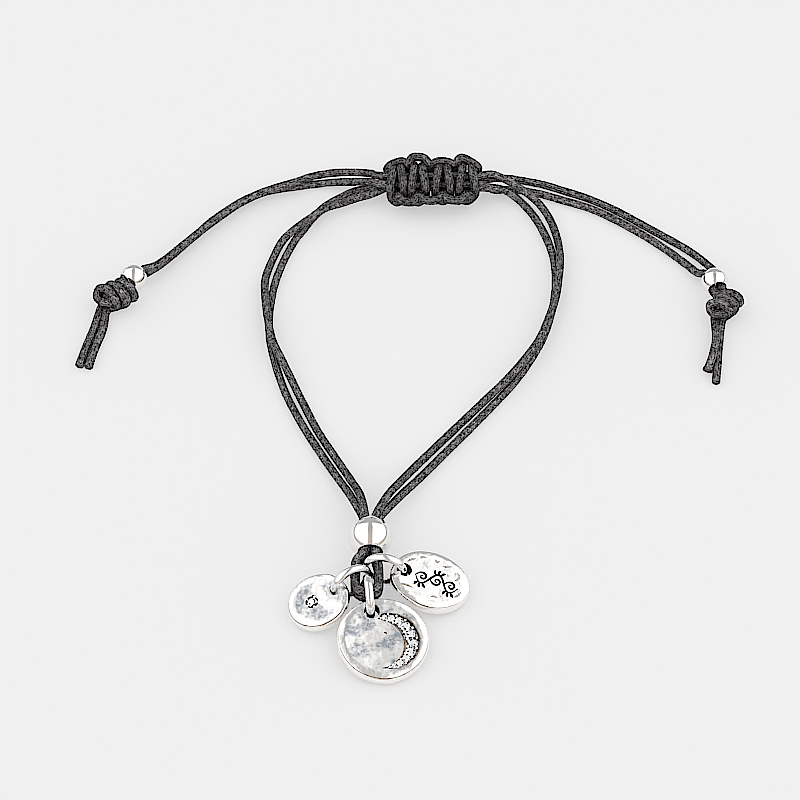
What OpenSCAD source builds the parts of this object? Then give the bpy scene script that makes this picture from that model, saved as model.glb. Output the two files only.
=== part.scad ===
// Pull-cord bracelet: two black waxed cords, a sliding square-knot closure,
// a large bead that gathers the cords, and three cast charms on jump rings.
// It lies on a flat surface at z = 0. +X is to the right, +Y points from the
// charms to the sliding knot, and all sizes are in millimetres.

/* [Cord] */
// Diameter of the waxed cord
cord_d = 1.5; // [1.3:0.1:1.6]
// Gap left between pieces that touch on the real bracelet
fit_gap = 0.1; // [0.05:0.05:0.2]

/* [Sliding knot] */
// Length of the knotted part along the cords
knot_length = 17.5; // [17:0.5:19]
// Number of half knots, each one bar on the top face
half_knots = 8; // [6:1:8]
// Angle by which the knot leans towards the charms
knot_roll = 22; // [0:1:30]

/* [Beads] */
// Diameter of the large bead that gathers the four cords
bead_d = 7.8; // [7.5:0.1:8.5]
// Hole through the large bead
bead_hole_d = 4.3; // [4.2:0.1:4.6]
// Diameter of the small bead on each tail
tail_bead_d = 5.1; // [4.8:0.1:5.6]
// Hole through the small bead
tail_bead_hole_d = 3.5; // [3.4:0.1:3.7]

/* [Jump rings] */
// Outer diameter of a jump ring
ring_outer_d = 8.2; // [8.2:0.1:8.4]
// Thickness of the ring's wire
ring_wire_d = 1.5; // [1.3:0.1:1.5]

/* [Charms] */
// Thickness of the small dished charm
left_thickness = 2.2; // [2:0.1:2.4]
// Thickness of the large charm with the crescent
centre_thickness = 2.3; // [2.1:0.1:2.4]
// Thickness of the oval charm
right_thickness = 2.4; // [2.2:0.1:2.5]
// Depth of the dish in a charm's face
dish_depth = 0.45; // [0.2:0.05:0.5]
// Hole for the jump ring in each charm
charm_hole_d = 2.7; // [2.6:0.1:2.9]
// Depth of the crescent pocket that holds the stones
pocket_depth = 0.5; // [0.5:0.1:0.8]
// Size of the largest stone in the crescent
moon_stone_d = 1.65; // [1.3:0.05:1.65]

/* [Hidden] */
cord_r = cord_d / 2;
bead_r = bead_d / 2;
ring_wire_r = ring_wire_d / 2;
ring_r = ring_outer_d / 2 - ring_wire_r;
tail_bead_r = tail_bead_d / 2;
// One ring of a cord's tube about every two diameters
ring_step = 3.4;
tube_sides = 8;
silver = "#c9cbcd";
black = "#2c2b2d";
clear = "#dfe6ea";

// The sliding knot's middle, and half the pitch of its four core cords
knot_at = [3.7, 53.9, 3.65];
core_half = 0.85;
// The large bead's middle, and half the pitch of the cords in its hole
bead_at = [-7.8, -31.8, bead_r];
bead_pitch_x = 0.92;
bead_pitch_z = 0.8;
bead_mouth = sqrt(bead_r ^ 2 - (bead_hole_d / 2) ^ 2);
// The small beads: middle, direction in which the tail leaves, and the side
// on which its first cord lies
left_bead_at = [-52.1, 30.5, tail_bead_r];
left_bead_turn = 220;
left_apart = [0, 0, 1];
right_bead_at = [55.8, 29.6, tail_bead_r];
right_bead_turn = 284;
right_apart = [sin(right_bead_turn), -cos(right_bead_turn), 0];
// The stopper knots: middle, direction from the bead to the cut ends, and how
// loosely each is tied
left_stop_at = [-55.5, 26, 2.75];
left_stop_turn = 211;
left_stop_size = 1;
right_stop_at = [57.2, 23.5, 2.6];
right_stop_turn = 232;
right_stop_size = 0.84;

// The jump rings stand upright: middle and the turn of their plane
left_ring_at = [-11.1, -41.8, ring_outer_d / 2];
left_ring_turn = 30;
centre_ring_at = [-8, -45.1, ring_outer_d / 2];
centre_ring_turn = 276;
right_ring_at = [-5.25, -39, ring_outer_d / 2];
right_ring_turn = -10;

// Routes on the surface, as rows of x, y and height above where a cord lies.
// Each pair crosses itself once, with the outer cord on top.
left_outer_route = [
    [-8, 52.1, 1.4], [-10.6, 51.6, 0.9], [-13.6, 50.3, 0.8], [-16.8, 48.4, 1.4],
    [-19.6, 45.6, 1.6], [-22, 43.3, 1.6], [-24.6, 40.8, 0.7], [-26.5, 36.5, 0],
    [-27.7, 31.1, 0.5], [-27.5, 25.4, 1.4], [-26.9, 20.2, 1.65], [-26, 15.3, 1.65],
    [-24.2, 10.7, 1.5], [-22.4, 6.6, 0.8], [-20.5, 2.3, 0], [-17.6, -4.7, 0],
    [-13.9, -12.2, 0.6], [-11.4, -17.9, 2], [-9.6, -22.6, 3.4]];
left_inner_route = [
    [-8, 54.6, 0.6], [-10.6, 54.4, 0], [-13.6, 52.7, 0], [-16.8, 50.2, 0],
    [-19.2, 47, 0], [-20.8, 44.2, 0], [-22.3, 41.6, 0], [-24.3, 36.5, 0],
    [-25.7, 31.5, 0], [-26.5, 26.6, 0], [-26.8, 21.6, 0], [-26.5, 16.7, 0],
    [-25.6, 11.9, 0], [-24.4, 7.1, 0], [-22.8, 2.3, 0], [-19.7, -4.7, 0],
    [-16, -11.8, 0], [-13.4, -16.8, 0.5], [-11.3, -21.3, 1.6]];
right_outer_route = [
    [14.7, 55.1, 3.7], [17.1, 54.7, 2.9], [19.4, 53.7, 2], [21.7, 52.1, 1.4],
    [23.9, 50.1, 0.6], [25.8, 46.7, 0], [27, 41.2, 0.5], [27.3, 35.3, 1.4],
    [26.9, 30.2, 1.55], [26.1, 25.1, 1.65], [24.7, 20.2, 1.7], [22.9, 15.3, 1.7],
    [20.1, 10.5, 1.65], [16.8, 5.8, 1.6], [12.8, 1.6, 0.7], [7, -4.9, 0],
    [1.4, -12.2, 0.6], [-2.2, -17.9, 2], [-4.8, -22.6, 3.4]];
right_inner_route = [
    [14.6, 52.8, 2.5], [16.8, 53.1, 1.6], [18.7, 52.6, 0.7], [20.9, 50.6, 0],
    [23.2, 46.7, 0], [25.1, 41.6, 0], [26.2, 36.5, 0], [26.4, 31.5, 0],
    [26, 26.6, 0], [25, 21.6, 0], [23.5, 16.7, 0], [21.3, 11.9, 0],
    [18.6, 7.1, 0], [15.2, 2.3, 0], [9.8, -4.7, 0], [4.2, -11.8, 0],
    [0.5, -16.8, 0.5], [-2.6, -21.3, 1.6]];
left_upper_tail = [
    [-8.3, 55.8, 3.2], [-11.7, 57.3, 1.9], [-15.2, 58, 1], [-18.6, 57, 1.3],
    [-20.3, 56.1, 1.6], [-22, 55.2, 1.65], [-25.4, 53.9, 1.6], [-28.8, 52.5, 1.4], [-32.9, 49.9, 1.4],
    [-37.7, 45.4, 1.5], [-41, 41.3, 1.6], [-43.6, 38.4, 1.65], [-46.5, 35, 1.75],
    [-48.6, 33, 2.1]];
left_lower_tail = [
    [-8.3, 54.1, 2.7], [-11.7, 55, 1.7], [-15.2, 56, 0.5], [-18.6, 56, 0],
    [-22, 55.4, 0], [-25.4, 54.7, 0], [-28.8, 53.7, 0], [-33, 51, 0],
    [-37.7, 46.5, 0], [-41.4, 42.5, 0], [-44.5, 38.7, 0], [-47.1, 35.5, 0.2],
    [-49, 33.4, 0.55]];
right_upper_tail = [
    [15.3, 55.9, 1.7], [18, 56.8, 0.7], [20.7, 56.8, 0.1], [24.5, 55.9, 0],
    [28.6, 54.2, 0], [33.5, 52, 0], [38.7, 48.8, 0], [43.6, 45.1, 0],
    [47.8, 41.9, 0], [51.5, 38.9, 0], [53.9, 36, 0.5]];
right_lower_tail = [
    [15.3, 54.1, 0.45], [18, 54.5, 0], [20.6, 54.3, 0], [24.4, 53.3, 0],
    [28.5, 51.7, 0], [33.4, 49.7, 0], [38.5, 46.5, 0], [43.5, 42.6, 0],
    [47.7, 38.8, 0], [50.9, 35.4, 0.1], [52.9, 32.6, 0.8]];
// Cut ends below the stopper knots
left_end_a = [[-58.9, 19.8, 0], [-60.3, 14.2, 0], [-61.2, 10.7, 0]];
left_end_b = [[-57.4, 19.5, 0], [-58.8, 14, 0], [-59.6, 10.2, 0]];
right_end_a = [[55.2, 17, 0], [54.1, 12, 0], [53.4, 9, 0]];
right_end_b = [[56.2, 16.4, 0], [55.6, 12, 0], [55, 6.5, 0]];

// One overhand knot tied in both cords together. Columns: along the tail,
// across it and up, then the direction in which the two cords lie apart.
stopper_rows = [
    [-0.8, -0.4, 0.1, 0, 1, 0], [0.7, 0.3, 0.1, 0, 1, 0], [1.8, 0.2, 0, 0.7, 0.7, 0],
    [2.2, -0.8, 0, 1, 0, 0], [1.5, -1.8, 0.2, 1, 0, 0],
    [0.8, -1.5, 1.3, 1, 0, 0], [0.4, -0.4, 2, 1, 0, 0], [0.2, 1, 1.8, 1, 0, 0],
    [0, 1.9, 1, 1, 0, 0], [-0.2, 2.1, -0.3, 1, 0, 0], [-0.4, 1.5, -1.5, 1, 0, 0],
    [-0.6, -0.4, -1.8, 1, 0, 0], [-0.9, -1.9, -0.2, 1, 0, 0],
    [-1, -1.5, 1.1, 1, 0, 0], [-1.4, -0.4, 1.8, 1, 0, 0], [-1.8, 0.8, 1.7, 1, 0, 0],
    [-2.2, 1.8, 0.9, 1, 0, 0], [-2.3, 2, -0.4, 1, 0, 0], [-1.7, 1.2, -1.5, 1, 0.5, 0],
    [0.4, 0.4, -1.8, 0, 1, 0], [2.3, 0.3, -2, 0, 1, 0]];
strand_half = cord_r + fit_gap / 2;

// The charms: middle of the hole at half thickness, plan angle from the
// charm's middle to its hole, distance to the hole, and half sizes.
left_half = [5.6, 5.3];
left_hole = [-13.75, -43.4, 3.4];
left_turn = 30;
left_reach = 3.4;
centre_half = [8, 8];
centre_hole = [-7.5, -48.1, 3.4];
centre_turn = 111;
centre_reach = 5.6;
right_half = [7.1, 5.95];
right_hole = [-2.05, -39.25, 3.4];
right_turn = 163;
right_reach = 4.9;
charm_sides = 32;
// The crescent's two circles on the large charm's face
moon_outer_r = 5.4;
moon_outer_at = [-0.7, -0.65];
moon_inner_r = 4.4;
moon_inner_at = [-0.55, 0.9];
// The stones sit between the two circles, packed along a third one
moon_stones = 10;
moon_mid_r = 4.84;
moon_mid_at = [-0.65, 0.02];
moon_first = 173.5;
moon_tip_share = 0.5;
stone_gap = 0.13;
stone_seat = 0.1;
left_stone_at = [-1.1, 0.6];
left_stone_d = 1.9;

MOON = [for (i = [1:10]) str("moon_stone_", i)];
// Brings the middle of the loop and its charms to the origin
place = [0.22, 1.29, 0];

function unit(v) = v / norm(v);
function lifted(rows) = [for (r = rows) [r[0], r[1], r[2] + cord_r]];

// A smooth curve through the points, with each stretch cut into equal steps
function blend(a, b, c, d, t) =
    0.5 * (2 * b + (c - a) * t + (2 * a - 5 * b + 4 * c - d) * t ^ 2
    + (3 * b - a - 3 * c + d) * t ^ 3);
function curve(pts, step) =
    let (n = len(pts),
         all = concat([2 * pts[0] - pts[1]], pts, [2 * pts[n - 1] - pts[n - 2]]))
    concat(
        [for (i = [1:n - 1])
            let (parts = max(1, ceil(norm(all[i + 1] - all[i]) / step)))
            for (k = [0:parts - 1])
                blend(all[i - 1], all[i], all[i + 1], all[i + 2], k / parts)],
        [pts[n - 1]]);
function heading(p, i) = unit(p[min(i + 1, len(p) - 1)] - p[max(i - 1, 0)]);
function square_to(v, t) = unit(v - (v * t) * t);
// Directions carried along a curve without twisting
function carried(p) =
    let (t0 = heading(p, 0), n0 = square_to(abs(t0[2]) < 0.9 ? [0, 0, 1] : [1, 0, 0], t0))
    [for (i = 0, n = n0; i < len(p); i = i + 1,
        n = i < len(p) ? square_to(n, heading(p, i)) : n) n];

// A closed round tube along the points
module tube(p, r) {
    up = carried(p);
    sides = tube_sides;
    rings = len(p);
    corners = [for (i = [0:rings - 1])
        let (side = cross(heading(p, i), up[i]))
        for (k = [0:sides - 1])
            p[i] + r * (cos(360 * k / sides) * up[i] + sin(360 * k / sides) * side)];
    walls = [for (i = [0:rings - 2], k = [0:sides - 1])
        let (a = i * sides + k, b = i * sides + (k + 1) % sides)
        each [[a, b, b + sides], [a, b + sides, a + sides]]];
    first = [[for (k = [0:sides - 1]) sides - 1 - k]];
    last = [[for (k = [0:sides - 1]) (rings - 1) * sides + k]];
    polyhedron(corners, concat(walls, first, last));
}

// A cord on the surface never dips below it
module cord(pts) {
    color(black) tube([for (q = curve(pts, ring_step)) [q[0], q[1], max(q[2], cord_r)]], cord_r);
}

// A knotted cord's run, as short straight pieces with round joints
module chain(p, sides) {
    for (i = [0:len(p) - 2]) hull() {
        translate(p[i]) sphere(r = cord_r * 1.05, $fn = sides);
        translate(p[i + 1]) sphere(r = cord_r * 1.05, $fn = sides);
    }
}

// Places in the sliding knot's own frame: along, across and up
function in_knot(u, v, w) = knot_at + [u,
    v * cos(knot_roll) - w * sin(knot_roll),
    v * sin(knot_roll) + w * cos(knot_roll)];
// A tail runs from the knot's end face to just short of the other one, where
// the loop's cord takes over inside the knot.
knot_half = knot_length / 2;
core_lap = 1.5;
function tail_core(v, w, from) =
    [in_knot(from * knot_half, v * core_half, w * core_half),
     in_knot(from * (core_lap - knot_half + fit_gap), v * core_half, w * core_half)];
function reversed(l) = [for (i = [len(l) - 1:-1:0]) l[i]];
function loop_core(v, w, side) =
    [in_knot(side * (knot_half - core_lap), v * core_half, w * core_half),
     in_knot(side * knot_half, v * core_half, w * core_half)];
// Places in the large bead's hole, from its back mouth or its front mouth
function in_bead(side, level, y) =
    bead_at + [side * bead_pitch_x, y, level * bead_pitch_z];
// The two ends of a strand's run through a small bead
function tail_run(at, turn, apart, side) =
    let (along = [cos(turn), sin(turn), 0])
    [at - 2 * along + side * strand_half * apart, at + 1.1 * along + side * strand_half * apart];

module loop_left_outer() {
    cord(concat(loop_core(-1, -1, -1), lifted(left_outer_route),
        [in_bead(-1, 1, bead_mouth + 1), in_bead(-1, 1, bead_mouth)]));
}
module loop_left_inner() {
    cord(concat(loop_core(1, -1, -1), lifted(left_inner_route),
        [in_bead(-1, -1, bead_mouth + 1), in_bead(-1, -1, bead_mouth)]));
}
module loop_right_outer() {
    cord(concat(loop_core(1, 1, 1), lifted(right_outer_route),
        [in_bead(1, 1, bead_mouth + 1), in_bead(1, 1, bead_mouth)]));
}
module loop_right_inner() {
    cord(concat(loop_core(-1, 1, 1), lifted(right_inner_route),
        [in_bead(1, -1, bead_mouth + 1), in_bead(1, -1, bead_mouth)]));
}

// The fold of a cord below the large bead, through which the rings hang
eye_half = 1.98;
eye_mid = -8.35;
eye_far = -38.5;
eye_near = -42.3;
eye_bottom = -44.1;
eye_low = 2.75;
module eye(level) {
    z = eye_low + (level + 1) * bead_pitch_z;
    half_u = [[eye_half - 0.3, -37, z + 0.15], [eye_half, eye_far, z], [eye_half, eye_near, z],
        [eye_half * 0.68, eye_bottom + 0.55, z]];
    side = [for (p = half_u) [eye_mid + p[0], p[1], p[2]]];
    other = reversed([for (p = half_u) [eye_mid - p[0], p[1], p[2]]]);
    back = bead_mouth - fit_gap;
    front = -bead_mouth - 0.2;
    color(black) tube(curve(concat(
        [in_bead(1, level, back), in_bead(1, level, 0), in_bead(1, level, front)], side,
        [[eye_mid, eye_bottom, z]], other,
        [in_bead(-1, level, front), in_bead(-1, level, 0), in_bead(-1, level, back)]), 2.6), cord_r);
}
module eye_upper() { eye(1); }
module eye_lower() { eye(-1); }

module tail_left_upper() {
    cord(concat(reversed(tail_core(1, 1, -1)), lifted(left_upper_tail),
        tail_run(left_bead_at, left_bead_turn, left_apart, 1)));
}
module tail_left_lower() {
    cord(concat(reversed(tail_core(-1, 1, -1)), lifted(left_lower_tail),
        tail_run(left_bead_at, left_bead_turn, left_apart, -1)));
}
module tail_right_upper() {
    cord(concat(reversed(tail_core(1, -1, 1)), lifted(right_upper_tail),
        tail_run(right_bead_at, right_bead_turn, right_apart, -1)));
}
module tail_right_lower() {
    cord(concat(reversed(tail_core(-1, -1, 1)), lifted(right_lower_tail),
        tail_run(right_bead_at, right_bead_turn, right_apart, 1)));
}

// One strand of a stopper knot, from the small bead to its cut end
function stopper_path(bead, bead_turn, first, at, turn, size, side, ends) =
    let (out = [cos(bead_turn), sin(bead_turn), 0],
         along = [cos(turn), sin(turn), 0], across = [-sin(turn), cos(turn), 0], up = [0, 0, 1],
         mid = concat([bead + 2.1 * out, bead + 2.8 * out],
            [for (r = stopper_rows) at + size * (r[0] * along + r[1] * across + r[2] * up)]),
         apart = concat([first, first],
            [for (r = stopper_rows) r[3] * along + r[4] * across + r[5] * up]))
    concat([for (i = [0:len(mid) - 1])
        mid[i] + side * strand_half * (i == 0 ? first : square_to(apart[i], heading(mid, i)))],
        lifted(ends));
module stopper(bead, bead_turn, first, at, turn, size, end_a, end_b) {
    color(black) union() {
        chain(stopper_path(bead, bead_turn, first, at, turn, size, 1, end_a), 6);
        chain(stopper_path(bead, bead_turn, first, at, turn, size, -1, end_b), 6);
    }
}
module stopper_left() {
    stopper(left_bead_at, left_bead_turn, left_apart, left_stop_at, left_stop_turn,
        left_stop_size, left_end_b, left_end_a);
}
module stopper_right() {
    stopper(right_bead_at, right_bead_turn, right_apart, right_stop_at, right_stop_turn,
        right_stop_size, right_end_b, right_end_a);
}

// The knotting cord's two working ends. One makes the bars on the top face
// and turns back at each edge. The other passes below, comes up through each
// turn and lies over the ends of the next two bars, which it pulls together.
pitch = knot_length / half_knots;
function station(i) = (i - (half_knots - 1) / 2) * pitch;
function bar_side(i) = i % 2 == 0 ? -1 : 1;
bar_rows = [[0.5, -3, 1.3], [0.3, -1.5, 2.5], [-0.3, 1.5, 2.5], [-0.5, 3, 1.3],
    [-0.35, 3.75, 0], [pitch / 2, 4, -0.8], [pitch + 0.35, 3.75, 0]];
under_rows = [[0.2, 1.4, -2.6], [-0.2, -1.4, -2.6], [-0.6, -2.7, -1.3],
    [-0.6, -2.75, 0.6], [-0.35, -3.8, 1.5], [0.5, -4.5, 1.2],
    [pitch - 0.5, -4.5, 1.2], [pitch + 0.35, -3.8, 1.5], [pitch + 0.6, -2.75, 0.6],
    [pitch + 0.6, -2.7, -1.3]];
last_knot = half_knots - 1;
// The knot is a little fuller on the side towards the charms
function fuller(v) = v < -2 ? 1.12 * v : v;
function weave(i, row) = in_knot(station(i) + row[0], fuller(bar_side(i) * row[1]), row[2]);
over_path = [for (i = [0:last_knot], r = [0:i == last_knot ? 4 : 6]) weave(i, bar_rows[r])];
under_path = [for (i = [0:last_knot], r = [0:i == last_knot ? 5 : 9]) weave(i, under_rows[r])];
module sliding_knot() {
    color(black) union() {
        chain(over_path, 6);
        chain(under_path, 6);
    }
}

module drilled_ball(d, hole_d) {
    color(silver) rotate([0, 90, 0]) rotate_extrude($fn = 48) difference() {
        circle(d = d, $fn = 48);
        translate([-d, -d]) square([d + hole_d / 2, 2 * d]);
    }
}
module cinch_bead() {
    translate(bead_at) rotate([0, 0, 90]) drilled_ball(bead_d, bead_hole_d);
}
module tail_bead_left() {
    translate(left_bead_at) rotate([0, 0, left_bead_turn]) drilled_ball(tail_bead_d, tail_bead_hole_d);
}
module tail_bead_right() {
    translate(right_bead_at) rotate([0, 0, right_bead_turn]) drilled_ball(tail_bead_d, tail_bead_hole_d);
}

module jump_ring(at, turn) {
    color(silver) translate(at) rotate([0, 0, turn]) rotate([90, 0, 0])
        rotate_extrude($fn = 48) translate([ring_r, 0]) circle(r = ring_wire_r, $fn = 24);
}
module ring_left() { jump_ring(left_ring_at, left_ring_turn); }
module ring_centre() { jump_ring(centre_ring_at, centre_ring_turn); }
module ring_right() { jump_ring(right_ring_at, right_ring_turn); }

// A cast charm rests with one edge on the surface and its hole on the ring:
// the tilt follows from the hole's height.
function charm_tilt(hole_z, reach, half_x, thickness) =
    asin((hole_z - thickness / 2) / (reach + half_x));
module seat(hole_at, turn, reach, half_x, thickness) {
    translate(hole_at) rotate([0, 0, turn])
        rotate([0, -charm_tilt(hole_at[2], reach, half_x, thickness), 0])
            translate([-reach, 0, -thickness / 2]) children();
}

// Round edges, a raised rim and a dish, as rings inset from the outline
function outline_r(half, a) =
    1 / sqrt((cos(a) / half[0]) ^ 2 + (sin(a) / half[1]) ^ 2);
module charm_blank(half, thickness) {
    rows = [[1.3, 0], [0.45, 0.1], [0.08, 0.55], [0, thickness * 0.5], [0.08, thickness - 0.45],
        [0.4, thickness - 0.08], [0.75, thickness - 0.03], [1.2, thickness - 0.2],
        [2.2, thickness - 0.6 * dish_depth], [half[1] * 0.7, thickness - dish_depth]];
    n = charm_sides;
    rings = len(rows);
    corners = concat(
        [for (row = rows, k = [0:n - 1])
            let (a = 360 * k / n, r = outline_r(half, a) - row[0])
            [r * cos(a), r * sin(a), row[1]]],
        [[0, 0, 0], [0, 0, thickness - dish_depth * 1.05]]);
    walls = [for (i = [0:rings - 2], k = [0:n - 1])
        let (a = i * n + k, b = i * n + (k + 1) % n)
        each [[a, b + n, b], [a, a + n, b + n]]];
    floor_fan = [for (k = [0:n - 1]) [rings * n, k, (k + 1) % n]];
    face_fan = [for (k = [0:n - 1])
        [rings * n + 1, (rings - 1) * n + (k + 1) % n, (rings - 1) * n + k]];
    polyhedron(corners, concat(walls, floor_fan, face_fan));
}
module ring_hole(reach, thickness) {
    translate([reach, 0, -1]) cylinder(d = charm_hole_d, h = thickness + 2, $fn = 24);
}
module moon() {
    difference() {
        translate(moon_outer_at) circle(r = moon_outer_r, $fn = 64);
        translate(moon_inner_at) circle(r = moon_inner_r, $fn = 64);
        translate([centre_reach, 0]) circle(r = charm_hole_d / 2 + 0.3, $fn = 32);
    }
}

module charm_left() {
    color(silver) seat(left_hole, left_turn, left_reach, left_half[0], left_thickness) difference() {
        charm_blank(left_half, left_thickness);
        ring_hole(left_reach, left_thickness);
        translate([left_stone_at[0], left_stone_at[1], left_thickness - dish_depth - 0.6])
            cylinder(d = left_stone_d + 2 * stone_seat, h = 2, $fn = 24);
    }
}
module charm_centre() {
    color(silver) seat(centre_hole, centre_turn, centre_reach, centre_half[0], centre_thickness)
        difference() {
            charm_blank(centre_half, centre_thickness);
            ring_hole(centre_reach, centre_thickness);
            translate([0, 0, centre_thickness - dish_depth - pocket_depth])
                linear_extrude(3) moon();
        }
}
module charm_right() {
    color(silver) seat(right_hole, right_turn, right_reach, right_half[0], right_thickness)
        difference() {
            charm_blank(right_half, right_thickness);
            ring_hole(right_reach, right_thickness);
        }
}

// A brilliant: table, crown facets, girdle and pavilion, eight of each
module stone(d) {
    n = 8;
    r = d / 2;
    rows = [[0.1, -0.42], [r, -0.06], [r, 0.06], [0.6 * r, 0.3]];
    corners = [for (row = rows, k = [0:n - 1])
        let (a = 360 * (k + (row[0] < r ? 0.5 : 0)) / n)
        [row[0] * cos(a), row[0] * sin(a), row[1]]];
    walls = [for (i = [0:2], k = [0:n - 1])
        let (a = i * n + k, b = i * n + (k + 1) % n)
        each [[a, b + n, b], [a, a + n, b + n]]];
    color(clear) polyhedron(corners,
        concat(walls, [[for (k = [0:n - 1]) k], [for (k = [0:n - 1]) 4 * n - 1 - k]]));
}
module left_stone() {
    seat(left_hole, left_turn, left_reach, left_half[0], left_thickness)
        translate([left_stone_at[0], left_stone_at[1], left_thickness - dish_depth])
            stone(left_stone_d);
}
// Stones shrink towards the crescent's tips, each next to the one before
function moon_d(i) = moon_stone_d * (moon_tip_share
    + (1 - moon_tip_share) * (1 - (abs(i - 0.5 - moon_stones / 2) / (moon_stones / 2)) ^ 1.6));
function moon_gone(i) = i <= 1 ? 0 : moon_gone(i - 1) + moon_d(i - 1) + stone_gap;
function moon_angle(i) = moon_first + (moon_gone(i) + moon_d(i) / 2) / moon_mid_r * 180 / PI;
module moon_stone(i) {
    a = moon_angle(i);
    seat(centre_hole, centre_turn, centre_reach, centre_half[0], centre_thickness)
        translate([moon_mid_at[0] + moon_mid_r * cos(a), moon_mid_at[1] + moon_mid_r * sin(a),
            centre_thickness - dish_depth + 0.05])
            stone(moon_d(i));
}

translate(place) loop_left_outer();
translate(place) loop_left_inner();
translate(place) loop_right_outer();
translate(place) loop_right_inner();
translate(place) eye_upper();
translate(place) eye_lower();
translate(place) tail_left_upper();
translate(place) tail_left_lower();
translate(place) tail_right_upper();
translate(place) tail_right_lower();
translate(place) stopper_left();
translate(place) stopper_right();
translate(place) sliding_knot();
translate(place) cinch_bead();
translate(place) tail_bead_left();
translate(place) tail_bead_right();
translate(place) ring_left();
translate(place) ring_centre();
translate(place) ring_right();
translate(place) charm_left();
translate(place) charm_centre();
translate(place) charm_right();
translate(place) left_stone();
for (i = [1:moon_stones])
    translate(place) moon_stone(i);
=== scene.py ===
import math

import bmesh
import bpy
from mathutils import Matrix, Vector, noise
from mathutils.bvhtree import BVHTree


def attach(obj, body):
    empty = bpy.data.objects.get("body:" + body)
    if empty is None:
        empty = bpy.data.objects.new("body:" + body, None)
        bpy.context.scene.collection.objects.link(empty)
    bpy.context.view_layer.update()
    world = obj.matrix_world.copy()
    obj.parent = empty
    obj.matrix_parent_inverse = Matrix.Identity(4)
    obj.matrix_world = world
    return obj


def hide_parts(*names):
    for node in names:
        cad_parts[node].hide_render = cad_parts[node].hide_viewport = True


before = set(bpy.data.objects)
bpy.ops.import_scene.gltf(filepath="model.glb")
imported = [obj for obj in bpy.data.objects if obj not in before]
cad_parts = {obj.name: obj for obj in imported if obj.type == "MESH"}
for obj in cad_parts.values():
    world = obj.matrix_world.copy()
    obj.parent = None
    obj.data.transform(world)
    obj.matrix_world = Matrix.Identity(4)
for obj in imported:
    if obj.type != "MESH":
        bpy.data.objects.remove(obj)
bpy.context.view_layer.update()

# Camera
# The bracelet lies flat and is seen from the charms' side, from 50 degrees
# above the table and from so far that it hardly tapers.
mm = 0.001
look_down = math.radians(50)
camera_distance = 700 * mm
camera_lens = 173.25
aim = Vector((-2.38, 4.24, 0)) * mm
camera_data = bpy.data.cameras.new("camera")
camera_data.lens = camera_lens
camera = bpy.data.objects.new("camera", camera_data)
camera.location = aim + camera_distance * Vector((0, -math.cos(look_down), math.sin(look_down)))
camera.rotation_euler = (math.pi / 2 - look_down, 0, 0)
bpy.context.collection.objects.link(camera)
bpy.context.scene.camera = camera

# Waxed cord
# Round braid of fine black polyester, waxed and rubbed dry. The grey on the ridges of its
# stitches is a painted sheen, and the black in its grooves is painted shade.
cord_radius = 0.75 * mm
braid_columns = 10
stitch_length = 0.62 * mm
stitch_slant = 1.2
cord_sides = 40
cord_ring_gap = 0.13 * mm
curve_steps = 16
groove_depth = 0.1
unevenness = 0.06
unevenness_scale = 900
end_rounding = (0.86, 0.95, 0.99)
fray_length = 0.5 * mm
# Painted shade in the grooves, and the grey of the painted sheen on the ridges.
groove_painted_shade = (0.003, 0.0022, 0.002)
yarn_black = (0.035, 0.032, 0.032)
painted_sheen_grey = (0.56, 0.545, 0.555)


def stitch_height(turn, along):
    """How proud the braid stands, 0 to 1, at a share of a turn and a length along the cord"""
    column = turn * braid_columns
    across = column % 1
    odd = int(column) % 2
    row = (along / stitch_length + 0.5 * odd + stitch_slant * (odd - 0.5) * (across - 0.5)) % 1
    return (4 * across * (1 - across)) ** 0.5 * (0.2 + 0.8 * (4 * row * (1 - row)) ** 0.8)


def smooth_route(points, floor=cord_radius):
    """Even steps along a smooth curve through points in millimetres, never below the table"""
    points = [Vector(p) * mm for p in points]
    ends = [2 * points[0] - points[1], *points, 2 * points[-1] - points[-2]]
    dense = []
    for before, here, after, beyond in zip(ends, ends[1:], ends[2:], ends[3:]):
        for step in range(curve_steps):
            t = step / curve_steps
            p = 0.5 * (2 * here + (after - before) * t
                       + (2 * before - 5 * here + 4 * after - beyond) * t ** 2
                       + (3 * here - before - 3 * after + beyond) * t ** 3)
            dense.append(Vector((p.x, p.y, max(p.z, floor))))
    dense.append(points[-1])
    travelled = [0]
    for a, b in zip(dense, dense[1:]):
        travelled.append(travelled[-1] + (b - a).length)
    count = max(4, round(travelled[-1] / cord_ring_gap))
    route, k = [], 0
    for i in range(count + 1):
        want = travelled[-1] * i / count
        while k < len(dense) - 2 and travelled[k + 1] < want:
            k += 1
        share = (want - travelled[k]) / max(travelled[k + 1] - travelled[k], 1e-9)
        route.append(dense[k].lerp(dense[k + 1], share))
    return route


def route_length(route):
    return sum((b - a).length for a, b in zip(route, route[1:]))


def roll_tube(bm, route, sides, shape):
    """Adds a strip of faces along the route and rolls it into a tube"""
    last = len(route) - 1
    strip = bmesh.ops.create_grid(bm, x_segments=sides, y_segments=last, size=0.5,
                                  calc_uvs=True)["verts"]
    frames, up = [], Vector((0, 0, 1))
    for i in range(last + 1):
        heading = (route[min(i + 1, last)] - route[max(i - 1, 0)]).normalized()
        up = (up - up.dot(heading) * heading).normalized()
        frames.append((up.copy(), heading.cross(up)))
    for vert in strip:
        turn, i = vert.co.x + 0.5, round((vert.co.y + 0.5) * last)
        side_a, side_b = frames[i]
        angle = 2 * math.pi * turn
        way = math.cos(angle) * side_a + math.sin(angle) * side_b
        vert.co = route[i] + shape(vert, turn % 1, i) * way
    return strip


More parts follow.
